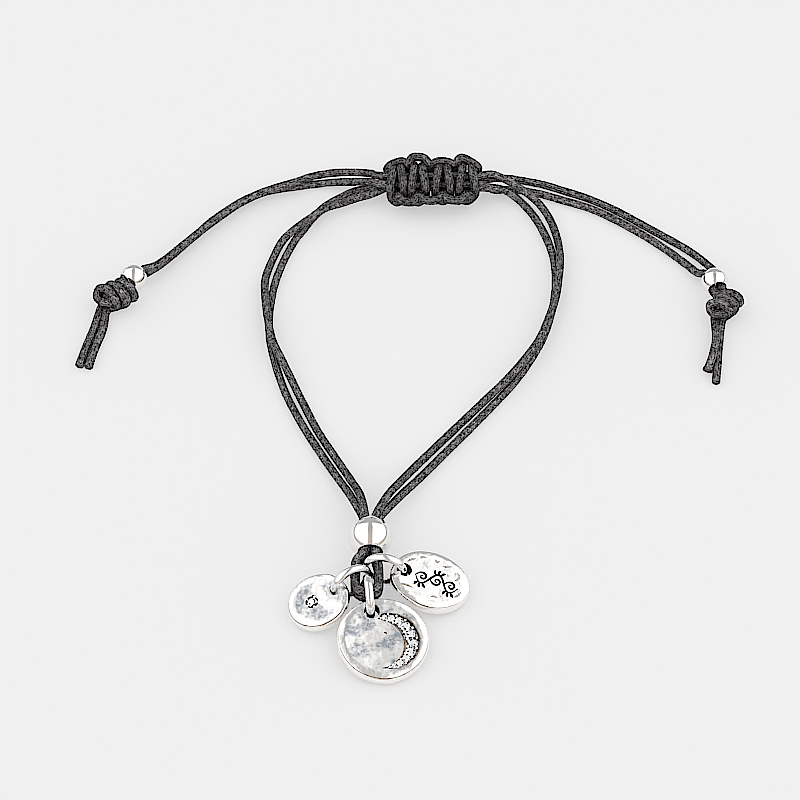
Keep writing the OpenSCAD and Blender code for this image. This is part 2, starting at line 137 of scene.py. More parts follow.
def roll_strand(bm, route, radius=cord_radius, flare=0):
    """Adds one braided strand along the route"""
    uv = bm.loops.layers.uv["braid"]
    last = len(route) - 1
    length = route_length(route)
    rounding = dict(enumerate(end_rounding))
    rounding.update({last - i: share for i, share in rounding.items()})

    def braided(vert, turn, i):
        along = length * i / last
        groove = groove_depth * (1 - stitch_height(turn, along))
        loose = 1 + unevenness * noise.noise(route[i] * unevenness_scale)
        frayed = 1 + flare * math.exp(-(length - along) / fray_length)
        return radius * (1 - groove) * loose * frayed * rounding.get(i, 1)

    strip = roll_tube(bm, route, cord_sides, braided)
    for vert in strip:
        vert.co.z = max(vert.co.z, 0)
    for face in {face for vert in strip for face in vert.link_faces}:
        for loop in face.loops:
            loop[uv].uv = (loop[uv].uv.x, loop[uv].uv.y * length / mm)


def new_braid():
    bm = bmesh.new()
    bm.loops.layers.uv.new("braid")
    return bm


def finish_braid(bm, name, nodes):
    """Closes the strands' seams and ends and makes them one piece"""
    bmesh.ops.remove_doubles(bm, verts=bm.verts, dist=1e-8)
    bmesh.ops.holes_fill(bm, edges=[e for e in bm.edges if e.is_boundary], sides=0)
    bmesh.ops.recalc_face_normals(bm, faces=bm.faces)
    for face in bm.faces:
        face.smooth = True
    return settle(bm, name, nodes, [waxed_cord])


def settle(bm, name, nodes, materials):
    """Turns a bmesh into a piece of the bracelet in place of its plain solids"""
    mesh = bpy.data.meshes.new(name)
    bm.to_mesh(mesh)
    bm.free()
    for material in materials:
        mesh.materials.append(material)
    piece = bpy.data.objects.new(name, mesh)
    bpy.context.collection.objects.link(piece)
    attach(piece, "root")
    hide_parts(*nodes)
    return piece


class Tone:
    """A node's output in a material. Sums and products of tones add Math nodes."""

    def __init__(self, socket):
        self.socket = socket

    def grow(self, kind, settings, sockets, output=0):
        tree = self.socket.id_data
        node = tree.nodes.new(kind)
        for name, value in settings.items():
            if name == "stops":
                ramp = node.color_ramp.elements
                for place, colour in value[2:]:
                    ramp.new(place)
                for stop, (place, colour) in zip(ramp, value):
                    stop.position = place
                    stop.color = (*colour, 1)
            else:
                setattr(node, name, value)
        for name, value in sockets.items():
            if isinstance(value, Tone):
                tree.links.new(value.socket, node.inputs[name])
            else:
                node.inputs[name].default_value = value
        return Tone(node.outputs[output])

    def sum(self, operation, *others):
        sockets = {0: self, **{i + 1: other for i, other in enumerate(others)}}
        return self.grow("ShaderNodeMath", {"operation": operation}, sockets)

    def __add__(self, other):
        return self.sum("ADD", other)

    def __radd__(self, other):
        return self.sum("ADD", other)

    def __sub__(self, other):
        return self.sum("SUBTRACT", other)

    def __rsub__(self, other):
        return (self * -1) + other

    def __mul__(self, other):
        return self.sum("MULTIPLY", other)

    def power(self, exponent):
        return self.sum("POWER", exponent)

    def step(self, low, high):
        """0 below low and 1 above high, smooth between"""
        return self.grow("ShaderNodeMapRange", {"interpolation_type": "SMOOTHSTEP"},
                         {"Value": self, "From Min": low, "From Max": high})

    def mix(self, dark, light):
        """dark where the tone is 0 and light where it is 1"""
        sockets = {"Factor": self}
        for name, colour in ((6, dark), (7, light)):
            sockets[name] = colour if isinstance(colour, Tone) else (*colour, 1)
        return self.grow("ShaderNodeMix", {"data_type": "RGBA"}, sockets, output=2)

    def grain(self, scale, detail=3, roughness=0.55):
        """Noise over the place that the tone holds"""
        sockets = {"Vector": self, "Scale": scale, "Detail": detail, "Roughness": roughness}
        return self.grow("ShaderNodeTexNoise", {}, sockets)

    def feed(self, shader, name):
        self.socket.id_data.links.new(self.socket, shader.inputs[name])

    def raise_on(self, shader, strength, distance):
        """Feeds the tone to the shader as relief"""
        bump = self.grow("ShaderNodeBump", {},
                         {"Height": self, "Strength": strength, "Distance": distance})
        bump.feed(shader, "Normal")


def new_finish(name):
    """An empty material, its shader and the place on the piece in metres"""
    material = bpy.data.materials.new(name)
    material.use_nodes = True
    nodes = material.node_tree.nodes
    place = nodes.new("ShaderNodeTexCoord").outputs["Object"]
    return material, nodes["Principled BSDF"], Tone(place)


waxed_cord, shader, place = new_finish("waxed_cord")
lay = place.grow("ShaderNodeUVMap", {"uv_map": "braid"}, {})
round_it, along_it = (lay.grow("ShaderNodeSeparateXYZ", {}, {"Vector": lay}, output=i)
                      for i in range(2))
column = round_it * braid_columns
across = column.sum("FRACT")
odd = (column.sum("FLOOR") * 0.5).sum("FRACT") * 2
row = along_it * (mm / stitch_length) + odd * 0.5 + (odd - 0.5) * (across - 0.5) * stitch_slant
in_row = row.sum("FRACT")
stitch = (across * (1 - across) * 4).power(0.5) * (in_row * (1 - in_row) * 3.2 + 0.2)
which = lay.grow("ShaderNodeCombineXYZ", {}, {"X": column.sum("FLOOR"), "Y": row.sum("FLOOR")})
stitch_sheen = which.grow("ShaderNodeTexWhiteNoise", {}, {"Vector": which})
strands = lay.grow("ShaderNodeCombineXYZ", {}, {"X": round_it * 30 + along_it * 1.3,
                                                "Y": along_it * 1.3})
strand = strands.grain(1, detail=2).step(0.3, 0.7)
fleck = place.grain(2200, detail=3, roughness=0.65).step(0.32, 0.68)
# Blotches in the painted sheen.
worn = place.grain(600, detail=2).step(0.36, 0.64)
fresh = place.grow("ShaderNodeAttribute", {"attribute_name": "fresh"}, {}, output=2)
# The painted sheen: grey on the stitches' ridges, uneven in flecks, stitches, streaks and
# blotches, and cut back on the sliding knot.
painted_shine = (fleck * 0.28 + stitch_sheen * 0.25 + strand * 0.35 + worn * 0.12) * (1 - fresh)
ridge = (stitch + (fleck - 0.5) * 0.4).step(0.02, 0.5)
yarn_with_sheen = painted_shine.power(1.5).mix(yarn_black, painted_sheen_grey)
# Grooves get painted shade; ridges get the cord's black with its painted sheen.
ridge.mix(groove_painted_shade, yarn_with_sheen).feed(shader, "Base Color")
(0.3 + ridge * 0.65).feed(shader, "Metallic")
(0.58 - painted_shine * 0.2).feed(shader, "Roughness")
(fleck * 0.3 + strand * 0.3 + stitch).raise_on(shader, 0.8, 0.07 * mm)
shader.inputs["Specular IOR Level"].default_value = 0.15
shader.inputs["Specular Tint"].default_value = (0, 0, 0, 1)

# Tails
# The four ends of the two cords. Each pair leaves the sliding knot, runs
# through a small bead and is tied off in a stopper knot.
placed = Vector((0.22, 1.29, 0))
knot_at = Vector((3.7, 53.9, 3.65))
knot_half = 8.75
knot_roll = math.radians(22)
core_half = 0.85
core_lap = 1.05
cord_gap = 0.1
strand_half = 0.8
tail_bead_radius = 2.55
tail_lead_in = 2
tail_end = 1.1


def in_knot(u, v, w):
    """A place in the sliding knot's own frame: along, across and up"""
    return knot_at + Vector((u, v * math.cos(knot_roll) - w * math.sin(knot_roll),
                             v * math.sin(knot_roll) + w * math.cos(knot_roll)))


def lifted(rows):
    """The cord's middle line, from rows of x, y and the height of its underside"""
    return [Vector((x, y, lift + cord_radius / mm)) for x, y, lift in rows]


def on_table(points):
    """Points in the cords' own drawing moved to the bracelet's frame"""
    return [Vector(p) + placed for p in points]


def tail_bead_run(bead, turn, apart, side):
    """The last stretch of a tail, beside the other tail's in the small bead"""
    along = Vector((math.cos(turn), math.sin(turn), 0))
    return [bead + reach * along + side * strand_half * apart
            for reach in (-tail_lead_in, tail_end)]


left_bead_at = Vector((-52.1, 30.5, tail_bead_radius))
left_bead_turn = math.radians(220)
left_apart = Vector((0, 0, 1))
right_bead_at = Vector((55.8, 29.6, tail_bead_radius))
right_bead_turn = math.radians(284)
right_apart = Vector((math.sin(right_bead_turn), -math.cos(right_bead_turn), 0))
tail_routes = {
    "tail_left_upper": (-1, (1, 1), [
        (-8.3, 55.8, 3.2), (-11.7, 57.3, 1.9), (-15.2, 58, 1), (-18.6, 57, 1.3),
        (-20.3, 56.1, 1.6), (-22, 55.2, 1.65), (-25.4, 53.9, 1.6), (-28.8, 52.5, 1.4),
        (-32.9, 49.9, 1.4), (-37.7, 45.4, 1.5), (-41, 41.3, 1.6), (-43.6, 38.4, 1.65),
        (-46.5, 35, 1.75), (-48.6, 33, 2.1)]),
    "tail_left_lower": (-1, (-1, 1), [
        (-8.3, 54.1, 2.7), (-11.7, 55, 1.7), (-15.2, 56, 0.5), (-18.6, 56, 0),
        (-22, 55.4, 0), (-25.4, 54.7, 0), (-28.8, 53.7, 0), (-33, 51, 0),
        (-37.7, 46.5, 0), (-41.4, 42.5, 0), (-44.5, 38.7, 0), (-47.1, 35.5, 0.2),
        (-49, 33.4, 0.55)]),
    "tail_right_upper": (1, (1, -1), [
        (15.3, 55.9, 1.7), (18, 56.8, 0.7), (20.7, 56.8, 0.1), (24.5, 55.9, 0),
        (28.6, 54.2, 0), (33.5, 52, 0), (38.7, 48.8, 0), (43.6, 45.1, 0),
        (47.8, 41.9, 0), (51.5, 38.9, 0), (53.9, 36, 0.5)]),
    "tail_right_lower": (1, (-1, -1), [
        (15.3, 54.1, 0.45), (18, 54.5, 0), (20.6, 54.3, 0), (24.4, 53.3, 0),
        (28.5, 51.7, 0), (33.4, 49.7, 0), (38.5, 46.5, 0), (43.5, 42.6, 0),
        (47.7, 38.8, 0), (50.9, 35.4, 0.1), (52.9, 32.6, 0.8)]),
}
tails = {}
for name, (side, (v, w), rows) in tail_routes.items():
    core = [in_knot(side * (core_lap + cord_gap - knot_half), v * core_half, w * core_half),
            in_knot(side * knot_half, v * core_half, w * core_half)]
    if side < 0:
        run = tail_bead_run(left_bead_at, left_bead_turn, left_apart, v)
    else:
        run = tail_bead_run(right_bead_at, right_bead_turn, right_apart, -v)
    route = smooth_route(on_table(core + lifted(rows) + run))
    bm = new_braid()
    roll_strand(bm, route)
    tails[name] = (finish_braid(bm, "cord_" + name, [name]), route)

# Loop
# The same two cords doubled round the wrist, from inside the sliding knot to
# the large bead, each pair crossing itself once.
bead_radius = 3.9
bead_at = Vector((-7.8, -31.8, bead_radius))
bead_pitch_x = 0.92
bead_pitch_z = 0.8
bead_hole_radius = 2.15
bead_mouth = math.sqrt(bead_radius ** 2 - bead_hole_radius ** 2)


def in_bead(side, level, y):
    """A place on one of the four cords in the large bead, y along its hole"""
    return bead_at + Vector((side * bead_pitch_x, y, level * bead_pitch_z))


loop_routes = {
    "loop_left_outer": (-1, (-1, -1), 1, [
        (-8, 52.1, 1.4), (-10.6, 51.6, 0.9), (-13.6, 50.3, 0.8), (-16.8, 48.4, 1.4),
        (-19.6, 45.6, 1.6), (-22, 43.3, 1.6), (-24.6, 40.8, 0.7), (-26.5, 36.5, 0),
        (-27.7, 31.1, 0.5), (-27.5, 25.4, 1.4), (-26.9, 20.2, 1.65), (-26, 15.3, 1.65),
        (-24.2, 10.7, 1.5), (-22.4, 6.6, 0.8), (-20.5, 2.3, 0), (-17.6, -4.7, 0),
        (-13.9, -12.2, 0.6), (-11.4, -17.9, 2), (-9.6, -22.6, 3.4)]),
    "loop_left_inner": (-1, (1, -1), -1, [
        (-8, 54.6, 0.6), (-10.6, 54.4, 0), (-13.6, 52.7, 0), (-16.8, 50.2, 0),
        (-19.2, 47, 0), (-20.8, 44.2, 0), (-22.3, 41.6, 0), (-24.3, 36.5, 0),
        (-25.7, 31.5, 0), (-26.5, 26.6, 0), (-26.8, 21.6, 0), (-26.5, 16.7, 0),
        (-25.6, 11.9, 0), (-24.4, 7.1, 0), (-22.8, 2.3, 0), (-19.7, -4.7, 0),
        (-16, -11.8, 0), (-13.4, -16.8, 0.5), (-11.3, -21.3, 1.6)]),
    "loop_right_outer": (1, (1, 1), 1, [
        (14.7, 55.1, 3.7), (17.1, 54.7, 2.9), (19.4, 53.7, 2), (21.7, 52.1, 1.4),
        (23.9, 50.1, 0.6), (25.8, 46.7, 0), (27, 41.2, 0.5), (27.3, 35.3, 1.4),
        (26.9, 30.2, 1.55), (26.1, 25.1, 1.65), (24.7, 20.2, 1.7), (22.9, 15.3, 1.7),
        (20.1, 10.5, 1.65), (16.8, 5.8, 1.6), (12.8, 1.6, 0.7), (7, -4.9, 0),
        (1.4, -12.2, 0.6), (-2.2, -17.9, 2), (-4.8, -22.6, 3.4)]),
    "loop_right_inner": (1, (-1, 1), -1, [
        (14.6, 52.8, 2.5), (16.8, 53.1, 1.6), (18.7, 52.6, 0.7), (20.9, 50.6, 0),
        (23.2, 46.7, 0), (25.1, 41.6, 0), (26.2, 36.5, 0), (26.4, 31.5, 0),
        (26, 26.6, 0), (25, 21.6, 0), (23.5, 16.7, 0), (21.3, 11.9, 0),
        (18.6, 7.1, 0), (15.2, 2.3, 0), (9.8, -4.7, 0), (4.2, -11.8, 0),
        (0.5, -16.8, 0.5), (-2.6, -21.3, 1.6)]),
}
for name, (side, (v, w), level, rows) in loop_routes.items():
    core = [in_knot(side * (knot_half - core_lap), v * core_half, w * core_half),
            in_knot(side * knot_half, v * core_half, w * core_half)]
    into_bead = [in_bead(side, level, bead_mouth + 1), in_bead(side, level, bead_mouth)]
    bm = new_braid()
    roll_strand(bm, smooth_route(on_table(core + lifted(rows) + into_bead)))
    finish_braid(bm, "cord_" + name, [name])

# Eye
# Below the large bead both cords turn back on themselves, one over the other,
# and the jump rings hang in that fold.
eye_cord_radius = 0.85 * mm
eye_squeeze = 0.93
eye_half = 1.98
eye_middle = -8.35
eye_bottom = -44.1
eye_low = 2.75
for name, level in (("eye_upper", 1), ("eye_lower", -1)):
    z = eye_low + (level + 1) * bead_pitch_z
    branch = [(eye_half - 0.3, -37, z + 0.15), (eye_half, -38.5, z), (eye_half, -42.3, z),
              (eye_half * 0.68, eye_bottom + 0.55, z)]
    right = [Vector((eye_middle + x, y, height)) for x, y, height in branch]
    left = [Vector((eye_middle - x, y, height)) for x, y, height in reversed(branch)]
    through = (bead_mouth - cord_gap, 0, -bead_mouth - 0.2)
    route = ([in_bead(eye_squeeze, level, y) for y in through] + right
             + [Vector((eye_middle, eye_bottom, z))] + left
             + [in_bead(-eye_squeeze, level, y) for y in reversed(through)])
    bm = new_braid()
    roll_strand(bm, smooth_route(on_table(route)), eye_cord_radius)
    finish_braid(bm, "cord_" + name, [name])

# Sliding knot
# A square-knotted sleeve round the four cords. One working end lies across the top as a bar in
# each half knot, the other passes below and pulls the bars together. Its cord gets less of the
# painted sheen than the rest and looks darker.
half_knots = 8
knot_pitch = 2 * knot_half / half_knots
knotting_radius = 0.88 * mm
knotting_sheen_cut = 0.22
bar_rows = [(0.3, -2.2, 1.9), (0.2, -1.1, 2.6), (-0.2, 1.1, 2.6), (-0.3, 2.2, 1.9),
            (-0.15, 3, 0.4), (knot_pitch / 2, 3.5, -0.7), (knot_pitch + 0.15, 3, 0.4)]
under_rows = [(0.2, 1.4, -2.6), (-0.2, -1.4, -2.6), (-0.7, -2.6, -1.3), (-0.85, -2.5, 0.4),
              (-0.8, -3.2, 1.5), (0.1, -4.15, 1.7), (knot_pitch - 0.1, -4.15, 1.7),
              (knot_pitch + 0.8, -3.2, 1.5), (knot_pitch + 0.85, -2.5, 0.4),
              (knot_pitch + 0.7, -2.6, -1.3)]
bar_drift = (-0.1, -0.45, -0.6, -0.7, -0.3, -0.45, -0.25, -0.1)
far_slack = (-1.3, -0.7, 0.1, 0, -0.75, -0.85, 0.05, -1.1)
near_slack = (0.1, 0.1, 0.3, -0.1, -0.1, -0.2, -0.05, -0.4)
bar_lift = (-0.1, 0.05, -0.1, 0.15, 0, 0.1, -0.1, 0.15)
slack_from = 2
slack_over = 1.5
near_tightness = 0.25


def knotted(i, row):
    """One point of half knot i, moved as far as the knot was pulled uneven there"""
    u, v, w = row
    v *= -1 if i % 2 == 0 else 1
    at = min(max(i + u / knot_pitch, 0), half_knots - 1)
    k = min(int(at), half_knots - 2)
    drift, far, near, lift = ((1 - at + k) * values[k] + (at - k) * values[k + 1]
                              for values in (bar_drift, far_slack, near_slack, bar_lift))
    pull = min(1, max(0, abs(v) - slack_from) / slack_over)
    v += pull * (far if v > 0 else -near - near_tightness)
    return in_knot((i - (half_knots - 1) / 2) * knot_pitch + u + drift, v, w + (w > 2) * lift)


bm = new_braid()
for rows, last_rows in ((bar_rows, 5), (under_rows, 6)):
    points = [knotted(i, row) for i in range(half_knots)
              for row in (rows if i < half_knots - 1 else rows[:last_rows])]
    roll_strand(bm, smooth_route(on_table(points)), knotting_radius)
# The knotted cord gets less painted sheen and looks darker.
sheen_cut_layer = bm.verts.layers.float.new("fresh")
for vert in bm.verts:
    vert[sheen_cut_layer] = knotting_sheen_cut
finish_braid(bm, "knotted_sleeve", ["sliding_knot"])

# Stopper knots
# One overhand knot tied in both cords of a tail together, pulled tight against
# the small bead, with the two cut ends left hanging out of it.
stopper_radius = 0.82 * mm
stopper_start = 1.2
stopper_turn_in = 2.8
stopper_rows = [
    (-0.8, -0.4, 0.1, 0, 1, 0), (0.7, 0.3, 0.1, 0, 1, 0), (1.8, 0.2, 0, 0.7, 0.7, 0),
    (2.2, -0.8, 0, 1, 0, 0), (1.5, -1.8, 0.2, 1, 0, 0), (0.8, -1.5, 1.3, 1, 0, 0),
    (0.4, -0.4, 2, 1, 0, 0), (0.2, 1, 1.8, 1, 0, 0), (0, 1.9, 1, 1, 0, 0),
    (-0.2, 2.1, -0.3, 1, 0, 0), (-0.4, 1.5, -1.5, 1, 0, 0), (-0.6, -0.4, -1.8, 1, 0, 0),
    (-0.9, -1.9, -0.2, 1, 0, 0), (-1, -1.5, 1.1, 1, 0, 0), (-1.4, -0.4, 1.8, 1, 0, 0),
    (-1.8, 0.8, 1.7, 1, 0, 0), (-2.2, 1.8, 0.9, 1, 0, 0), (-2.3, 2, -0.4, 1, 0, 0),
    (-1.7, 1.2, -1.5, 1, 0.5, 0), (0.4, 0.4, -1.8, 0, 1, 0), (2.3, 0.3, -2, 0, 1, 0)]
for name, bead, bead_turn, first, at, turn, size, cut_ends, flare in (
        ("stopper_left", left_bead_at, left_bead_turn, left_apart,
         Vector((-55.5, 26, 2.75)), math.radians(211), 1,
         {1: [(-57.4, 19.5, 0), (-58.8, 14, 0), (-59.6, 10.2, 0)],
          -1: [(-58.95, 19.8, 0), (-60.4, 14.2, 0), (-61.25, 10.5, 0)]}, (0.1, 0.12)),
        ("stopper_right", right_bead_at, right_bead_turn, right_apart,
         Vector((57.2, 23.5, 2.6)), math.radians(232), 0.84,
         {1: [(56.1, 16.4, 0), (55.6, 12, 0), (55, 6.5, 0)],
          -1: [(55.5, 16.3, 1.3), (54.7, 12.2, 1.1), (53.6, 9.2, 0.1)]}, (0, 0.45))):
    out = Vector((math.cos(bead_turn), math.sin(bead_turn), 0))
    along = Vector((math.cos(turn), math.sin(turn), 0))
    across = Vector((-math.sin(turn), math.cos(turn), 0))
    up = Vector((0, 0, 1))
    middle = [bead + stopper_start * out, bead + stopper_turn_in * out]
    apart = [first, first]
    for a, c, u, da, dc, du in stopper_rows:
        middle.append(at + size * (a * along + c * across + u * up))
        apart.append(da * along + dc * across + du * up)
    bm = new_braid()
    for side, end_flare in zip((1, -1), flare):
        points = []
        for i, (here, way) in enumerate(zip(middle, apart)):
            heading = (middle[min(i + 1, len(middle) - 1)] - middle[max(i - 1, 0)]).normalized()
            if i:
                way = (way - way.dot(heading) * heading).normalized()
            points.append(here + side * strand_half * way)
        route = smooth_route(on_table(points + lifted(cut_ends[side])))
        roll_strand(bm, route, stopper_radius, end_flare)
    finish_braid(bm, "knotted_" + name, [name])

# Beads
# Hollow silver beads, turned and polished like mirrors, each drilled through
# and with the hole's edge rolled smooth.
hole_edge = 0.16 * mm
tail_bead_hole = 1.66
path_step = 6
bead_dark = (0.85, 0.835, 0.81)
bead_light = (0.95, 0.938, 0.915)
polished_bead, shader, place = new_finish("polished_bead")
shader.inputs["Metallic"].default_value = 1
cloud = place.grain(420, detail=2)
cloud.mix(bead_dark, bead_light).feed(shader, "Base Color")
(0.05 + place.grain(900) * 0.08).feed(shader, "Roughness")
place.grain(1500, detail=1).raise_on(shader, 0.08, 0.02 * mm)
for name, at, turn, radius, hole in (
        ("cinch_bead", bead_at, math.radians(90), bead_radius, bead_hole_radius),
        ("tail_bead_left", left_bead_at, left_bead_turn, tail_bead_radius, tail_bead_hole),
        ("tail_bead_right", right_bead_at, right_bead_turn, tail_bead_radius, tail_bead_hole)):
    bm = bmesh.new()
    bmesh.ops.create_uvsphere(bm, u_segments=96, v_segments=64, radius=radius * mm)
    mouth = math.sqrt(radius ** 2 - hole ** 2) * mm
    for side in (1, -1):
        bmesh.ops.bisect_plane(bm, geom=[*bm.verts, *bm.edges, *bm.faces],
                               plane_co=(0, 0, side * mouth), plane_no=(0, 0, side),
                               clear_outer=True)
    rims = [edge for edge in bm.edges if edge.is_boundary]
    bmesh.ops.bridge_loops(bm, edges=rims)
    bmesh.ops.bevel(bm, geom=rims, offset=hole_edge, affect="EDGES", segments=5, profile=0.5,
                    material=-1)
    bmesh.ops.recalc_face_normals(bm, faces=bm.faces)
    for face in bm.faces:
        face.smooth = True
    pose = (Matrix.Translation((at + placed) * mm) @ Matrix.Rotation(turn, 4, "Z")
            @ Matrix.Rotation(math.pi / 2, 4, "Y"))
    bmesh.ops.transform(bm, matrix=pose, verts=bm.verts)
    settle(bm, "turned_" + name, [name], [polished_bead])

for side_name, side in (("left", -1), ("right", 1)):
    for level in ("upper", "lower"):
        piece, route = tails[f"tail_{side_name}_{level}"]
        tuple((in_knot(side * knot_half, 0, 0) + placed) * mm)
        route_length(route)
        [tuple(p) for p in route[::path_step] + route[-1:]]

# Jump rings
# Round silver wire bent into closed rings, a little flattened by the pliers.
wire_radius = 0.75 * mm
wire_sides = 28
wire_flattening = 0.84
ring_radius = 3.4 * mm
ring_height = 4.1
ring_steps = 120
ring_dark = (0.8, 0.795, 0.79)
ring_light = (0.95, 0.945, 0.94)
polished_ring, shader, place = new_finish("polished_ring")
shader.inputs["Metallic"].default_value = 1
place.grain(300, detail=2).mix(ring_dark, ring_light).feed(shader, "Base Color")
(0.1 + place.grain(1100) * 0.12).feed(shader, "Roughness")
place.grain(1300, detail=2).raise_on(shader, 0.15, 0.03 * mm)
for name, at, turn in (("ring_left", (-11.1, -41.8, ring_height), math.radians(30)),
                       ("ring_centre", (-8, -45.1, ring_height), math.radians(276)),
                       ("ring_right", (-5.25, -39, ring_height), math.radians(-10))):
    bm = bmesh.new()
    section = bmesh.ops.create_circle(bm, segments=wire_sides, radius=wire_radius)["verts"]
    into_place = (Matrix.Translation((ring_radius, 0, 0))
                  @ Matrix.Scale(wire_flattening, 4, (1, 0, 0))
                  @ Matrix.Rotation(math.pi / 2, 4, "X"))
    bmesh.ops.transform(bm, matrix=into_place, verts=section)
    bmesh.ops.spin(bm, geom=[*bm.verts, *bm.edges], cent=(0, 0, 0), axis=(0, 0, 1),
                   dvec=(0, 0, 0), angle=2 * math.pi, steps=ring_steps, use_merge=True,
                   use_duplicate=False)
    bmesh.ops.remove_doubles(bm, verts=bm.verts, dist=1e-7)
    pose = (Matrix.Translation((Vector(at) + placed) * mm) @ Matrix.Rotation(turn, 4, "Z")
            @ Matrix.Rotation(math.pi / 2, 4, "X"))
    bmesh.ops.transform(bm, matrix=pose, verts=bm.verts)
    bmesh.ops.recalc_face_normals(bm, faces=bm.faces)
    for face in bm.faces:
        face.smooth = True
    settle(bm, "bent_" + name, [name], [polished_ring])

# Charms
# Three discs cast in silver: a soft, slightly uneven edge, a hammered face that is dished a
# little, and a drilled hole. Black oxide stays in their recesses, while the black walls of the
# centre and right holes are painted shade. A line of painted shade runs round each rim, and the
# foot of each side carries a painted reflection of the table.
rim_line = 0.33
bright_silver = (0.98, 0.965, 0.935)
table_reflection_tan = (0.66, 0.6, 0.52)
tarnish = (0.4, 0.43, 0.48)
painted_edge_shade = (0.13, 0.085, 0.055)
recess_black = (0.006, 0.0045, 0.0035)
recess_brown = (0.06, 0.042, 0.03)
cast_silver, shader, place = new_finish("cast_silver")
worn = place.grow("ShaderNodeAttribute", {"attribute_name": "worn"}, {}, output=2)
inset = place.grow("ShaderNodeAttribute", {"attribute_name": "inset"}, {}, output=2)
dull = place.grow("ShaderNodeAttribute", {"attribute_name": "dull"}, {}, output=2)
patch = place.grain(280, detail=3, roughness=0.6).step(0.43, 0.6)
speck = place.grain(1300, detail=4, roughness=0.7).step(0.38, 0.64)
cloud = worn * (patch * (0.5 + speck * 0.5) + speck * 0.15)
# Painted reflection of the shaded table: the lower part of each charm's side turns darker and
# tan.
foot = (inset * -1).step(0.3, 0.55)
silver = cloud.mix(foot.mix(bright_silver, table_reflection_tan), tarnish)
# A thin line of painted shade where the face meets the side, along the creases and along the
# crescent's edges; round the rim it is strongest on one side.
rim = 1 - (inset - rim_line).sum("ABSOLUTE").step(0.03, 0.11)
line = rim * dull * (0.35 + place.grain(700) * 0.9)
line.mix(silver, painted_edge_shade).feed(shader, "Base Color")
(0.96 - line * 0.4).feed(shader, "Metallic")
(0.14 + worn * 0.18 + cloud * 0.1 + line * 0.2).feed(shader, "Roughness")
(place.grain(520, detail=3) + speck * 0.35).raise_on(shader, 0.3, 0.05 * mm)
black_oxide_and_shade, shader, place = new_finish("black_oxide_and_shade")
place.grain(1500).mix(recess_black, recess_brown).feed(shader, "Base Color")
shader.inputs["Roughness"].default_value = 0.6
shader.inputs["Specular IOR Level"].default_value = 0.2
dish_depth = 0.45
charm_hole_radius = 1.35
charm_hole_height = 3.4
charm_steps = 160
under_charm = -1
over_charm = 4
face_share = 0.6
worn_from = 0.7
worn_over = 1.2
edge_swell = 0.014
edge_swell_scale = 0.25
hammer_marks = ((0.38, 0.09), (1.1, 0.03), (2.6, 0.012))
line_sides = 10
line_tip = 0.25
sharp_edge = math.radians(38)


def charm_pose(hole_x, hole_y, turn, reach, half_x, thickness):
    """From a charm's own frame, its back at z = 0, to where it leans on the table"""
    tilt = math.asin((charm_hole_height - thickness / 2) / (reach + half_x))
    return (Matrix.Translation(Vector((hole_x, hole_y, charm_hole_height)) + placed)
            @ Matrix.Rotation(math.radians(turn), 4, "Z")
            @ Matrix.Rotation(-tilt, 4, "Y") @ Matrix.Translation((-reach, 0, -thickness / 2)))


def cast_disc(half, thickness, dish, seed, age, line_shade_side):
    """The cast blank in millimetres: a profile turned once round, then made uneven"""
    t = thickness
    rows = [(half[0], 0), (1.3, 0), (0.5, 0.06), (0.12, 0.45), (0, t * 0.5), (0.04, t - 0.6),
            (0.14, t - 0.34), (rim_line, t - 0.19), (0.8, t - 0.09), (1.4, t - 0.03),
            (2, t - 0.03 - dish * 0.14), (3.2, t - dish * 0.55), (4.6, t - dish * 0.85),
            (half[0], t - dish)]
    bm = bmesh.new()
    worn = bm.verts.layers.float.new("worn")
    depth = bm.verts.layers.float.new("inset")
    dull = bm.verts.layers.float.new("dull")
    outline = smooth_route([(half[0] - inset, 0, height) for inset, height in rows], 0)
    profile = [bm.verts.new(p / mm) for p in outline]
    for pair in zip(profile, profile[1:]):
        bm.edges.new(pair)
    bmesh.ops.spin(bm, geom=[*bm.verts, *bm.edges], cent=(0, 0, 0), axis=(0, 0, 1),
                   dvec=(0, 0, 0), angle=2 * math.pi, steps=charm_steps, use_merge=True,
                   use_duplicate=False)
    bmesh.ops.remove_doubles(bm, verts=bm.verts, dist=1e-4)
    for vert in bm.verts:
        inset = half[0] - vert.co.xy.length
        top = vert.co.z > t * face_share
        field = min(1, max(0, (inset - worn_from) / worn_over)) * top
        vert[worn] = age * field * field * (3 - 2 * field)
        # On the face the inset places the painted rim line; on the side the height places the
        # painted table reflection at the foot.
        vert[depth] = inset if top else vert.co.z / t - face_share
        # The painted rim line is darkest on one side of the charm and fades round it.
        turn = math.atan2(vert.co.y, vert.co.x) - math.radians(line_shade_side)
        vert[dull] = max(0, 0.4 + 0.6 * math.cos(turn))
        vert.co.y *= half[1] / half[0]
        spot = Vector((vert.co.x, vert.co.y, seed))
        outward = min(1, vert.co.xy.length / half[1])
        swell = 1 + edge_swell * outward * noise.noise(spot * edge_swell_scale)
        vert.co.x *= swell
        vert.co.y *= swell
        if top:
            vert.co.z += sum(height * noise.noise(spot * scale) for scale, height in hammer_marks)
    bmesh.ops.recalc_face_normals(bm, faces=bm.faces)
    return bm


